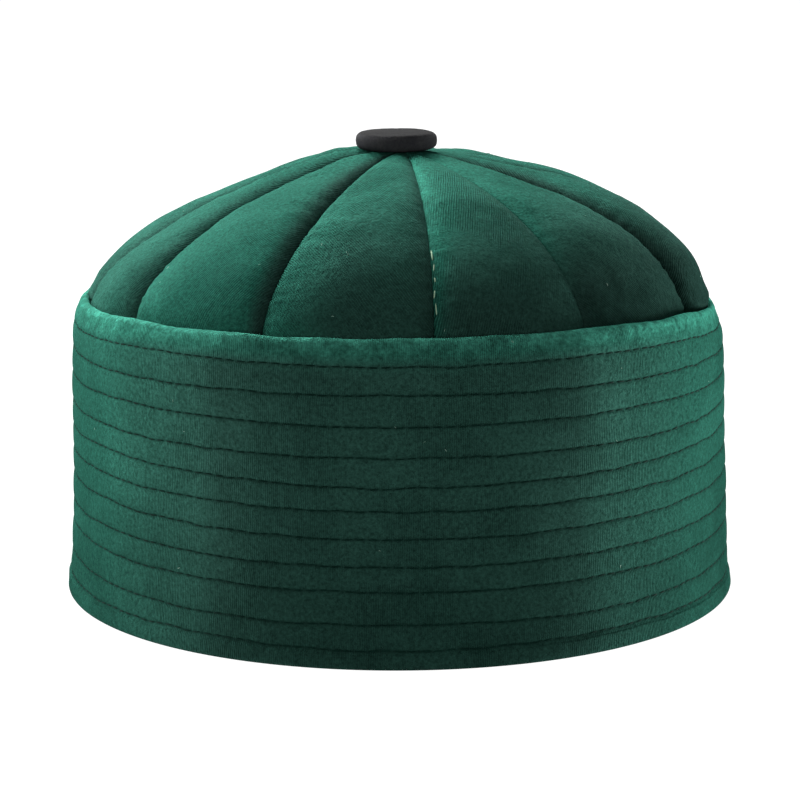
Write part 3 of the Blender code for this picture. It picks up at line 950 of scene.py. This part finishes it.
@dataclass
class Crown:
    """Twelve padded gores, sewn side by side and tucked down inside the lip."""

    radius: float                   # of the crests at the spring line
    spring: float                   # height of the spring line
    rise: float = 0.0430
    tuck: float = 0.0083            # length of the gores below the spring line
    tuck_pinch: float = 0.25
    lip_pinch: float = 0.75
    pinch_fade: float = 1.4         # how soon the seams grow flat towards the apex
    gore_wall: float = 0.0020
    seam_depth: float = 0.0036
    fullness: float = 1.87
    fullness_swing: float = 0.17
    fullness_oval: float = 0.13
    slack: float = 0.0012
    seam_shift: float = 0.0018
    eye_radius: float = 0.0036
    gap: float = 0.00004
    groove: float = 0.0015          # extra depth of the narrow groove at a seam
    groove_width: float = 0.0020
    side_bulge: float = 0.0012      # how far the crown leans on the lip at its two sides
    side_bulge_lift: float = 0.030  # lift at which it leans most, in radians
    side_bulge_spread: float = 0.075
    valley_reach: float = 0.0036    # how far the painted shade of a valley reaches from the seam
    pucker: float = 0.00026         # height of the small cross folds at a seam
    pucker_reach: float = 0.0036
    pucker_start: float = 0.0012    # distance from the seam over which they fade in
    body_start: float = 0.0040      # the same for the cloth's large unevenness
    shade_top: float = 54.0         # degrees of lift at which the painted shade near the lip ends
    shade_climb: float = 20.0       # how much higher it ends at the gore's +X side
    shade_hold: float = 1.15        # above 1, it stays whole near the lip before it fades
    climbs: int = 118               # rows of faces above the spring line
    tuck_rows: int = 8              # rows of faces below it
    columns: int = 60               # faces across a gore's outer side, an even number
    hand_stitch: float = 0.0025     # length of a pale hand stitch

    def build(self, velvet: bpy.types.Material, yarn: bpy.types.Material) -> list[bpy.types.Object]:
        """Build and dress the gores and the hand stitches in one seam.

        Args:
            velvet: finish of the gores.
            yarn: finish of the hand stitches.

        Returns:
            The gores, then the stitches.
        """
        pieces = []
        for index in range(len(SEAMS)):
            gore = self._gore(index, velvet)
            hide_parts(f"gore_{index + 1:02d}")
            pieces.append(gore)
        pieces.append(self._hand_stitches(yarn))
        for piece in pieces:
            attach(piece, BODY)
        return pieces

    def crest(self, lift: np.ndarray, below: np.ndarray, bearing: np.ndarray) -> tuple[np.ndarray, ...]:
        """Crest line of the crown.

        Args:
            lift: angle up the crown, from the spring line to the apex.
            below: distance below the spring line.
            bearing: bearings of the points.

        Returns:
            Radius, height, and the outward normal's two parts in the half plane.
        """
        side = np.sin(bearing)
        power = self.fullness + self.fullness_swing * side + self.fullness_oval * np.cos(2 * bearing)
        across = np.cos(lift) ** (2 / power)
        up = np.sin(lift) ** (2 / power)
        slope_out = across ** (power - 1) / self.radius
        slope_up = up ** (power - 1) / self.rise
        length = np.hypot(slope_out, slope_up)
        normal_out, normal_up = slope_out / length, slope_up / length
        left, right = (read_table(CROWN_LINE, np.degrees(lift), column) for column in ("left", "right"))
        out = self.slack * (left * np.clip(-side, 0.0, None) ** 2 + right * np.clip(side, 0.0, None))
        from_bulge = (lift - self.side_bulge_lift) / self.side_bulge_spread
        out = out + self.side_bulge * np.exp(-from_bulge ** 2) * side ** 6
        radius = self.radius * across + out * normal_out
        height = self.spring - below + self.rise * up + out * normal_up
        return radius, height, normal_out, normal_up

    def _levels(self) -> tuple[np.ndarray, np.ndarray, np.ndarray]:
        """Lift, distance below the spring line and seam depth's share at each row of a gore."""
        last = acos((self.eye_radius / self.radius) ** (self.fullness / 2))
        lift = np.linspace(0.0, 1.0, self.climbs) ** 1.25 * last
        below = np.linspace(self.tuck, 0.0, self.tuck_rows, endpoint=False)
        tucked = self.tuck_pinch + (self.lip_pinch - self.tuck_pinch) * (1 - below / self.tuck)
        return (np.concatenate([0 * below, lift]), np.concatenate([below, 0 * lift]),
                np.concatenate([tucked, self._pinch(lift)]))

    def _pinch(self, lift: np.ndarray) -> np.ndarray:
        """Share of the seams' depth at some lifts."""
        at_lip = np.minimum(1.0, self.lip_pinch + lift / 2)
        return np.cos(lift) ** (self.pinch_fade / self.fullness) * at_lip

    def seam_bearing(self, index: int, lift: np.ndarray) -> np.ndarray:
        """Bearings of a seam at some lifts, counted on past a full turn."""
        turn, place = divmod(index, len(SEAMS))
        seam = SEAMS[place]
        return np.radians(seam.bearing + 360 * turn + seam.turn * lift / (pi / 2))

    def gore_points(self, index: int, lift: np.ndarray, below: np.ndarray, pinch: np.ndarray,
                    share: np.ndarray, inside: bool) -> tuple[np.ndarray, np.ndarray]:
        """Points of one gore.

        Args:
            index: number of the gore.
            lift: lift of each row.
            below: distance of each row below the spring line.
            pinch: share of the seams' depth at each row.
            share: share of the gore's width at each column.
            inside: whether the points lie on the underside.

        Returns:
            (rows, columns, 3) array of points, and their distances across from the gore's middle.
        """
        lift, below, pinch, share = np.broadcast_arrays(
            lift[:, None], below[:, None], pinch[:, None], share[None, :])
        start, end = self.seam_bearing(index, lift), self.seam_bearing(index + 1, lift)
        bearing = start + (end - start) * share
        radius, height, normal_out, normal_up = self.crest(lift, below, bearing)
        width = radius * (end - start)
        if inside:
            sink = self.gore_wall + (self.seam_depth + self.groove) * pinch
        else:
            sink = self._sink(index, lift, pinch, share, radius, height, bearing, width)
        radius = np.maximum(radius - sink * normal_out, self.eye_radius)
        height = height - sink * normal_up
        bearing = bearing + self.gap / 2 / radius * (1 - 2 * share)
        shift = self.seam_shift * (1 - np.minimum(1.0, radius / self.radius) ** 2)
        bearing = np.arctan2(radius * np.sin(bearing) + shift, radius * np.cos(bearing))
        return around_axis(radius, bearing, height), width * (share - 0.5)

    def _sink(self, index: int, lift: np.ndarray, pinch: np.ndarray, share: np.ndarray, radius: np.ndarray,
              height: np.ndarray, bearing: np.ndarray, width: np.ndarray) -> np.ndarray:
        """How far the padded face of a gore lies below the crest line, with its grooves and puckers."""
        first, second = SEAMS[index], SEAMS[(index + 1) % len(SEAMS)]
        side = np.clip((share - 0.35) / 0.3, 0.0, 1.0)
        depth = first.depth + (second.depth - first.depth) * ease(side)
        swell = (1 - np.abs(1 - 2 * share) ** 2.2) ** 0.7
        puff = first.puff * np.sin(2 * lift)
        sink = self.seam_depth * pinch * (depth * (1 - swell) - puff * swell)
        away = np.minimum(share, 1 - share) * width
        narrow = np.clip(width / (8 * self.groove_width), 0.15, 1.0) * depth * np.minimum(1.0, pinch * 1.4)
        sink = sink + self.groove * narrow * np.exp(-away / self.groove_width)
        spot = around_axis(radius, bearing, height)
        along = np.stack([lift * 0.07, 0 * lift, share * 0 + 0.5 * index + (share > 0.5) * 0.2], axis=-1)
        folds = Relief(90 + index, 0.0032, self.pucker, 16).at(along)
        folds = folds * np.exp(-away / self.pucker_reach) * (1 - np.exp(-away / self.pucker_start))
        body = uneven(SOFT_GORES, spot)
        return sink - folds * narrow - body * np.minimum(1.0, away / self.body_start)

    def path(self, index: int, lift: np.ndarray, share: float, out: float) -> tuple[np.ndarray, np.ndarray]:
        """Points up a gore's padded face at one share of its width.

        Args:
            index: number of the gore.
            lift: lift of each point.
            share: share of the gore's width.
            out: distance of the points above the cloth, in metres.

        Returns:
            The points, and the directions away from the cloth.
        """
        level = np.zeros_like(lift)
        points, _ = self.gore_points(index, lift, level, self._pinch(lift), np.array([share]), False)
        start, end = self.seam_bearing(index, lift), self.seam_bearing(index + 1, lift)
        bearing = start + (end - start) * share
        _, _, normal_out, normal_up = self.crest(lift, level, bearing)
        outward = around_axis(normal_out, bearing, normal_up)
        return points[:, 0] + out * outward, outward

    def _hand_stitches(self, yarn: bpy.types.Material) -> bpy.types.Object:
        """A few pale stitches that close the front seam by hand."""
        draw = np.random.default_rng(31)
        paths, outward = [], []
        steps = np.linspace(-1, 1, 6)
        for middle in HAND_STITCHES:
            reach = self.hand_stitch / 2 / CREST_PER_LIFT * draw.uniform(0.6, 1.8)
            points, away = self.path(0, radians(middle) + reach * steps, 0.012, 0.20 * MM)
            arch = 0.14 * MM * (1 - steps ** 2)
            lean = steps * draw.uniform(-0.12 * MM, 0.30 * MM) + draw.uniform(-0.20 * MM, 0.20 * MM)
            paths.append(points + away * arch[:, None] + lean[:, None] * np.array((1.0, 0.0, 0.0)))
            outward.append(away)
        widths = draw.uniform(0.28 * MM, 0.46 * MM, len(paths))
        return lay_threads("hand_stitches", np.array(paths), np.array(outward), widths, 0.20 * MM, yarn)

    def _painted_shading(self, index: int, lift: np.ndarray, share: np.ndarray, across: np.ndarray) -> np.ndarray:
        """Painted shade of a gore's pile: darker near the lip on its +X half and in its two valleys, with a
        painted highlight where a valley's value is below 0.
        """
        seam, following = SEAMS[index], SEAMS[(index + 1) % len(SEAMS)]
        top = self.shade_top + self.shade_climb * share[None, :]
        low = np.clip(self.shade_hold * (1 - np.degrees(lift)[:, None] / top), 0.0, 1.0)
        half = np.clip((share[None, :] - seam.turned) / 0.5, 0.0, 1.0)
        turned = seam.shade * ease(low) * ease(half)
        width = across[:, -1:] - across[:, :1]
        reach = np.minimum(self.valley_reach, 0.16 * width)
        left = seam.after * np.exp(-((across - across[:, :1]) / reach) ** 1.5)
        right = following.before * np.exp(-((across[:, -1:] - across) / reach) ** 1.5)
        return (1 - turned) * (1 - left) * (1 - right) - 1

    def _gore(self, index: int, velvet: bpy.types.Material) -> bpy.types.Object:
        """One closed gore: padded face above, plain cloth below, closed at both ends."""
        lift, below, pinch = self._levels()
        even = np.linspace(0.0, 1.0, self.columns + 1)
        share = 0.45 * even + 0.55 * (1 - np.cos(pi * even)) / 2
        outer, across = self.gore_points(index, lift, below, pinch, share, False)
        inner, _ = self.gore_points(index, lift, below, pinch, share[::-2], True)
        points = np.concatenate([outer, inner], axis=1)
        rows, count = points.shape[:2]
        steps = np.linalg.norm(np.diff(outer[:, self.columns // 2], axis=0), axis=1)
        travel = np.concatenate([[0.0], np.cumsum(steps)])
        slant = radians(SEAMS[index].ribs)
        up = np.repeat(travel[:, None], count + 1, axis=1)
        over = np.concatenate([across, across[:, ::-2], across[:, :1]], axis=1)
        # Painted light and shade of the gore and, where it is darkest, the share of the greyer
        # painted-shade colour.
        painted_shading = np.zeros_like(up)
        painted_shading[:, :self.columns + 1] = self._painted_shading(index, lift, share, across)
        painted_shading[:, -1] = painted_shading[:, 0]
        painted_shade = np.clip(-1.6 * painted_shading, 0.0, 1.0)
        cloth = np.stack([over * cos(slant) - up * sin(slant), painted_shade, painted_shading], axis=-1)
        cells = ring_faces(rows, count, False)
        places = list(cloth[cells[..., 0], cells[..., 1]].reshape(-1, 3))
        faces = corner_numbers(cells, count)
        for row in (0, rows - 1):
            for cell in range(self.columns // 2):
                near = self.columns + 1 + self.columns // 2 - cell
                cap = [2 * cell, 2 * cell + 1, 2 * cell + 2, near - 1, near]
                faces.append([row * count + spot for spot in cap])
                places += [cloth[row, spot] for spot in cap]
        return make_piece(f"padded_gore_{index + 1:02d}", points, faces, velvet, np.array(places))


# The button

WORN_FELT = (Relief(21, 0.012, 0.05 * MM), Relief(22, 0.0022, 0.02 * MM))


@dataclass
class Button:
    """The covered button over the eye of the crown."""

    seat: float                     # height of its lowest face
    foot: float                     # height of its shank's end
    radius: float = 0.01180
    thickness: float = 0.0049
    round: float = 0.0019
    dome: float = 0.0004
    dish: float = 0.0003
    offset: float = -0.0005
    shank: float = 0.0025
    side_swell: float = 0.00005     # how far its side swells past the radius
    sides: int = 160
    round_steps: int = 8

    def build(self, felt: bpy.types.Material) -> bpy.types.Object:
        """Build and dress the button."""
        outline = self._outline()
        bearing = np.arange(self.sides) * tau / self.sides
        radius = outline[:, :1] + 0 * bearing
        height = outline[:, 1:] + 0 * bearing
        spot = around_axis(radius, bearing, height)
        worn = uneven(WORN_FELT, spot)
        share = np.clip(radius / self.radius, 0.0, 1.0)
        radius = radius + worn * share ** 2
        height = height + worn * 0.6 * (height > self.seat)
        points = around_axis(radius, bearing, height) + np.array((self.offset, 0.0, 0.0))
        rows = len(outline)
        faces = corner_numbers(ring_faces(rows, self.sides, False), self.sides)
        faces.append(list(range(self.sides)))
        top = (rows - 1) * self.sides
        middle = points[-1].mean(axis=0)
        points = np.concatenate([points.reshape(-1, 3), middle[None, :]])
        faces += [[top + side, top + (side + 1) % self.sides, len(points) - 1]
                  for side in range(self.sides)]
        piece = make_piece("covered_button", points, faces, felt)
        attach(piece, BODY)
        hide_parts("button")
        return piece

    def _outline(self) -> np.ndarray:
        """Half section from the shank's end to near the middle of the top."""
        top = self.seat + self.thickness - self.dome
        edge = self.radius - self.round
        under = self.seat - self.dish + self.round
        line = [(self.shank, self.foot), (self.shank, self.seat)]
        line += [(self.shank + (edge - self.shank) * share, self.seat - self.dish * share)
                 for share in (0.25, 0.5, 0.75)]
        line += arc((edge, under), self.round, -90, 0, self.round_steps).tolist()
        line.append((self.radius + self.side_swell, (under + top - self.round) / 2))
        line += arc((edge, top - self.round), self.round, 0, 90, self.round_steps).tolist()
        line += [(edge * share, top + self.dome * (1 - share ** 2))
                 for share in (0.85, 0.7, 0.55, 0.4, 0.25, 0.1)]
        return np.array(line)


# Lint

class BandSpot(NamedTuple):
    """A place on the band."""

    bearing: float      # degrees
    height: float       # share of the band's height


class GoreSpot(NamedTuple):
    """A place on the crown."""

    gore: int
    lift: float         # degrees
    share: float        # share of the gore's width


@dataclass
class Lint:
    """Single pale fibres that cling to the pile."""

    length: float = 0.0009
    width: float = 0.00016
    lifted: float = 0.0001          # how far a fibre's middle lies above the cloth
    steps: int = 6                  # points along a fibre
    strays: int = 26                # fibres at places drawn at random, on the band and on the crown each
    on_band: tuple[BandSpot, ...] = (
        BandSpot(-38.5, 0.255),
        BandSpot(38.5, 0.255),
        BandSpot(18.5, 0.985),
    )
    on_crown: tuple[GoreSpot, ...] = (
        GoreSpot(11, 12.0, 0.44),
        GoreSpot(11, 33.0, 0.46),
        GoreSpot(0, 7.0, 0.06),
    )

    def build(self, band: Band, crown: Crown, fibre: bpy.types.Material) -> bpy.types.Object:
        """Build and dress the fibres.

        Args:
            band: the band that some lie on.
            crown: the crown that the others lie on.
            fibre: their finish.

        Returns:
            The fibres as one object.
        """
        draw = np.random.default_rng(53)
        band_spots = [*self.on_band] + [BandSpot(draw.uniform(0, 360), draw.uniform(0.05, 0.95))
                                        for _ in range(self.strays)]
        crown_spots = [*self.on_crown] + [GoreSpot(int(draw.integers(12)), draw.uniform(8, 70),
                                                   draw.uniform(0.12, 0.88)) for _ in range(self.strays)]
        paths, outward = [], []
        for spot in band_spots:
            bearing = np.array(radians(spot.bearing))
            height = np.array(spot.height * band.height)
            point = band.place(bearing, band.outer_radius(height) + band.swell + self.lifted, height)
            away = np.array([np.sin(bearing), -np.cos(bearing), 0.0])
            paths.append(self._curl(draw, point, away))
            outward.append(np.tile(away, (self.steps, 1)))
        for spot in crown_spots:
            lift = np.radians([spot.lift, spot.lift + 1.0])
            points, away = crown.path(spot.gore, lift, spot.share, self.lifted)
            paths.append(self._curl(draw, points[0], away[0]))
            outward.append(np.tile(away[0], (self.steps, 1)))
        widths = self.width * draw.uniform(0.6, 1.3, len(paths))
        lint = lay_threads("lint", np.array(paths), np.array(outward), widths, self.width / 2, fibre, 5)
        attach(lint, BODY)
        return lint

    def _curl(self, draw: np.random.Generator, point: np.ndarray, away: np.ndarray) -> np.ndarray:
        """Points of one curled fibre that lies on the cloth at a point."""
        side = np.cross(away, (0.3, 0.2, 1.0))
        side /= np.linalg.norm(side)
        up = np.cross(away, side)
        heading = draw.uniform(0.0, tau)
        turns = heading + np.cumsum(draw.uniform(-0.15, 0.65, self.steps))
        step = self.length * draw.uniform(0.5, 1.5) / (self.steps - 1)
        run = np.cumsum(np.cos(turns)[:, None] * side + np.sin(turns)[:, None] * up, axis=0) * step
        return point + run - run.mean(axis=0)


# The studio

@dataclass(frozen=True)
class Softbox:
    """A soft studio light aimed at the cap.

    Attributes:
        name: name of the light.
        bearing: degrees from the front towards +X.
        elevation: degrees above the horizon.
        size: width and height, in metres.
        strength: light that a face turned to it gets, in watts per square metre.
        distance: distance from the cap's middle, in metres.
    """

    name: str
    bearing: float
    elevation: float
    size: tuple[float, float]
    strength: float
    distance: float = 1.5

    def hang(self, aim: Vector) -> bpy.types.Object:
        """Make the light and turn it to the cap.

        Args:
            aim: point that it shines at.

        Returns:
            The light's object.
        """
        lamp = bpy.data.lights.new(self.name, "AREA")
        lamp.shape = "RECTANGLE"
        lamp.size, lamp.size_y = self.size
        lamp.energy = self.strength * pi * self.distance ** 2
        light = bpy.data.objects.new(self.name, lamp)
        out, up = cos(radians(self.elevation)), sin(radians(self.elevation))
        side = Vector((sin(radians(self.bearing)) * out, -cos(radians(self.bearing)) * out, up))
        light.location = aim + side * self.distance
        light.rotation_euler = side.to_track_quat("Z", "Y").to_euler()
        light.visible_camera = False
        bpy.context.scene.collection.objects.link(light)
        return light


@dataclass
class Studio:
    """Pale sweep, soft lights, even grey surroundings and the camera."""

    aim: tuple[float, float, float] = (0.0, 0.0, 0.065)
    surroundings: float = 0.13
    floor_glow: float = 1.03
    floor_colour: float = 0.06
    camera_place: tuple[float, float, float] = (0.0, -0.8434, 0.2269)
    camera_pitch: float = 78.40
    camera_roll: float = -0.215
    lens: float = 130.6
    shift: float = 0.0012
    lamps: tuple[Softbox, ...] = (
        Softbox("left_light", -115.0, 32.0, (0.28, 0.28), 4.9, 0.6),
        Softbox("left_bounce", -100.0, -20.0, (0.40, 0.40), 3.8, 1.0),
        Softbox("back_light", -165.0, 37.0, (0.46, 0.46), 8.4, 1.2),
        Softbox("top_light", 180.0, 60.0, (0.40, 0.40), 2.6, 1.0),
        Softbox("right_bounce", 107.0, -16.0, (0.40, 0.40), 6.6, 1.0),
        Softbox("front_fill", 0.0, 10.0, (0.60, 0.60), 1.2, 1.5),
    )

    def build(self) -> None:
        """Set up everything around the cap."""
        scene = bpy.context.scene
        scene.view_settings.view_transform = "Standard"
        self._surround(scene)
        self._sweep()
        for lamp in self.lamps:
            lamp.hang(Vector(self.aim))
        self._camera(scene)

    def _surround(self, scene: bpy.types.Scene) -> None:
        """Even light from all round."""
        world = bpy.data.worlds.new("studio")
        world.use_nodes = True
        background = world.node_tree.nodes["Background"]
        background.inputs["Color"].default_value = (1.0, 1.0, 1.0, 1.0)
        background.inputs["Strength"].default_value = self.surroundings
        scene.world = world

    def _sweep(self) -> None:
        """White floor that curves up into a closed dome."""
        flat, reach, sides = 2.4, 3.6, 96
        turn = np.radians(np.linspace(0, 172, 24))
        tall = reach - flat
        line = [(0.3, 0.0), (1.0, 0.0), (1.8, 0.0)]
        line += [(flat + tall * np.sin(angle), tall * 1.2 * (1 - np.cos(angle))) for angle in turn[:12]]
        line += [(reach * share, 2.9 + 1.2 * (1 - share)) for share in (0.9, 0.6, 0.3)]
        bearing = np.arange(sides) * tau / sides
        points = [[(r * sin(b), -r * cos(b), h) for b in bearing] for r, h in line]
        faces = corner_numbers(ring_faces(len(line), sides, False), sides)
        faces += [list(range(sides)), [len(line) * sides - 1 - side for side in range(sides)]]
        bench = NodeBench("white_sweep", (0.9, 0.9, 0.9))
        grain = bench.noise(bench.place(), 0.4, 1.0)
        glow = bench.span(grain, 0.3, 0.7, self.floor_glow - 0.01, self.floor_glow + 0.01)
        bench.wire(glow, bench.shader.inputs["Emission Strength"])
        bench.set_shader({
            "Emission Color": (1.0, 1.0, 1.0, 1.0),
            "Base Color": (*(self.floor_colour,) * 3, 1.0),
            "Roughness": 1.0,
            "Specular IOR Level": 0.0,
        })
        sweep = make_piece("sweep", np.array(points), faces, bench.material)
        sweep.visible_diffuse = False
        sweep.visible_glossy = False
        sweep.visible_shadow = False

    def _camera(self, scene: bpy.types.Scene) -> None:
        """Camera at the photograph's angle."""
        lens = bpy.data.cameras.new("camera")
        lens.sensor_width = 36.0
        lens.lens = self.lens
        lens.shift_x = self.shift
        lens.clip_start = 0.02
        camera = bpy.data.objects.new("camera", lens)
        camera.location = self.camera_place
        pitch = Euler((radians(self.camera_pitch), 0.0, 0.0)).to_matrix()
        roll = Euler((0.0, 0.0, radians(self.camera_roll))).to_matrix()
        camera.rotation_euler = (pitch @ roll).to_euler()
        scene.collection.objects.link(camera)
        scene.camera = camera


def main() -> None:
    """Build the cap and its studio."""
    logging.basicConfig(level=logging.INFO, format="%(name)s: %(message)s")
    dark_yarn = DARK_YARN.make()
    pale_yarn = PALE_YARN.make()
    band = Band()
    band_pieces = band.build(BAND_VELVET.make(), dark_yarn)
    lip_radius, _, fold = band.lip_fold()
    crown = Crown(radius=lip_radius - fold - CLEARANCE, spring=band.height - SPRING_BELOW_LIP)
    crown_pieces = crown.build(CROWN_VELVET.make(), pale_yarn)
    low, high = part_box("button")
    button = Button(seat=high[2] - BUTTON_DEPTH, foot=low[2])
    pieces = [*band_pieces, *crown_pieces, button.build(BUTTON_FELT.make(high[2])),
              Lint().build(band, crown, LINT_FIBRE.make())]
    for piece in pieces:
        LOG.info("%s: %d faces", piece.name, len(piece.data.polygons))
    Studio().build()


if __name__ == "__main__":
    main()
